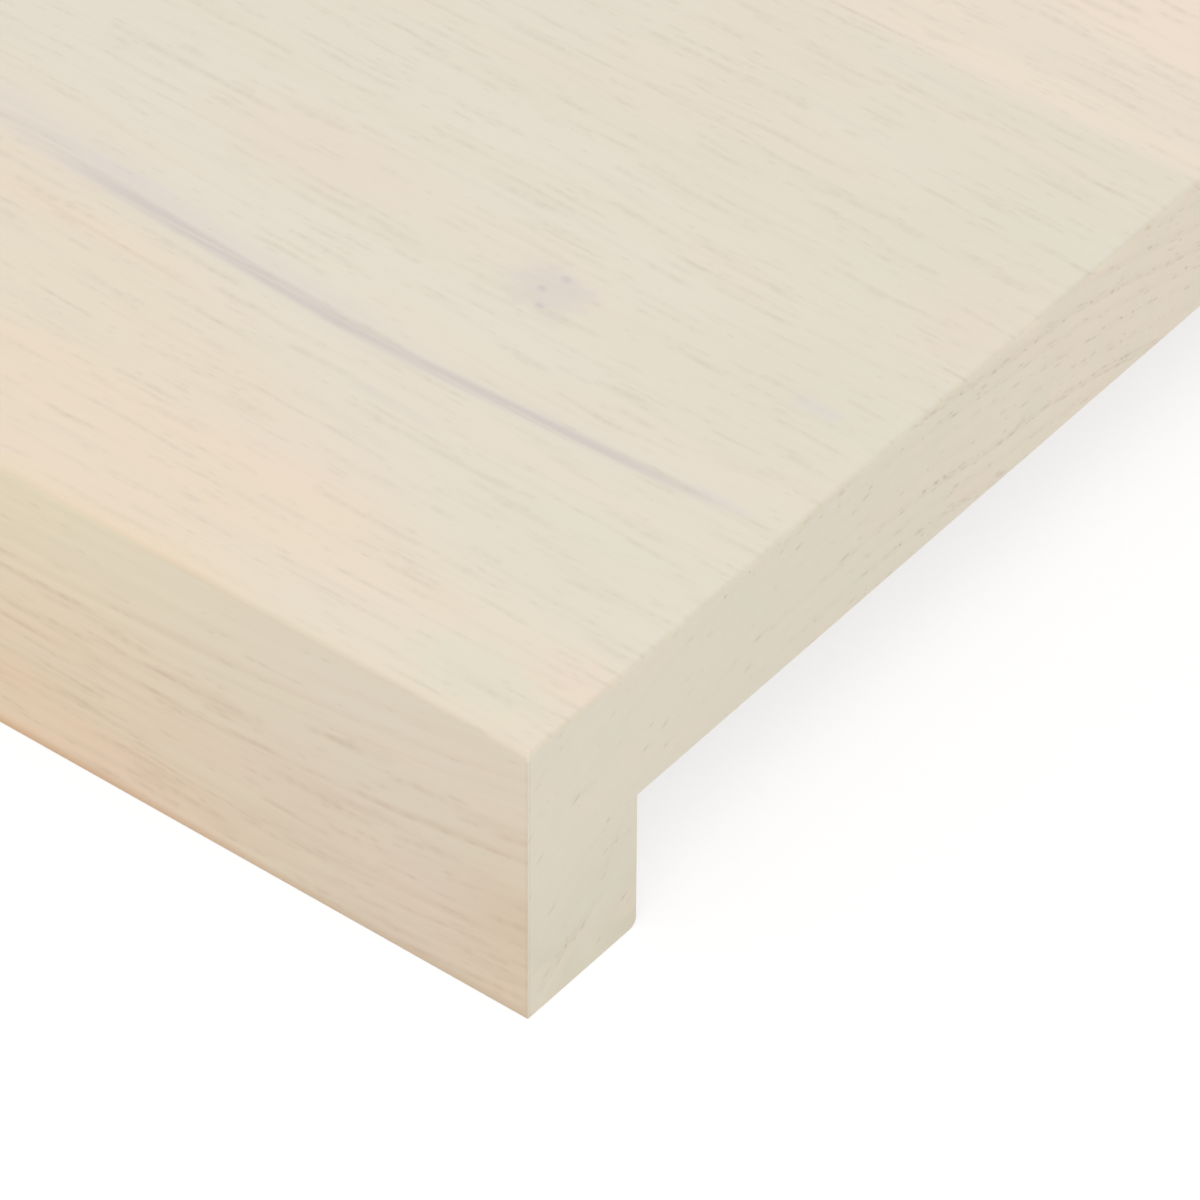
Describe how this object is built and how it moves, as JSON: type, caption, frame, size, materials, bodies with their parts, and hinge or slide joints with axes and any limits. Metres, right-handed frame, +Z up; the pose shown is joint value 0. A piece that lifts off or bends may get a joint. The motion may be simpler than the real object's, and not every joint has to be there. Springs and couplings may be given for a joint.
{
  "type": "window sill board",
  "caption": "Solid oak window sill board of L section: a flat board with a thickened front nosing that laps over the wall below, pale white-oiled finish.",
  "frame": {"origin": "centre of the board's footprint, at the level of the foot of the nosing", "axes": "+X along the board's length, +Y from the front face of the nosing towards the back edge at the window, +Z up out of the top face"},
  "size_m": [1, 0.25, 0.04],
  "materials": {
    "oiled_oak": "matt white oil on planed and sanded oak"
  },
  "bodies": {
    "root": {"sill_board": "oiled_oak"}
  },
  "joints": []
}
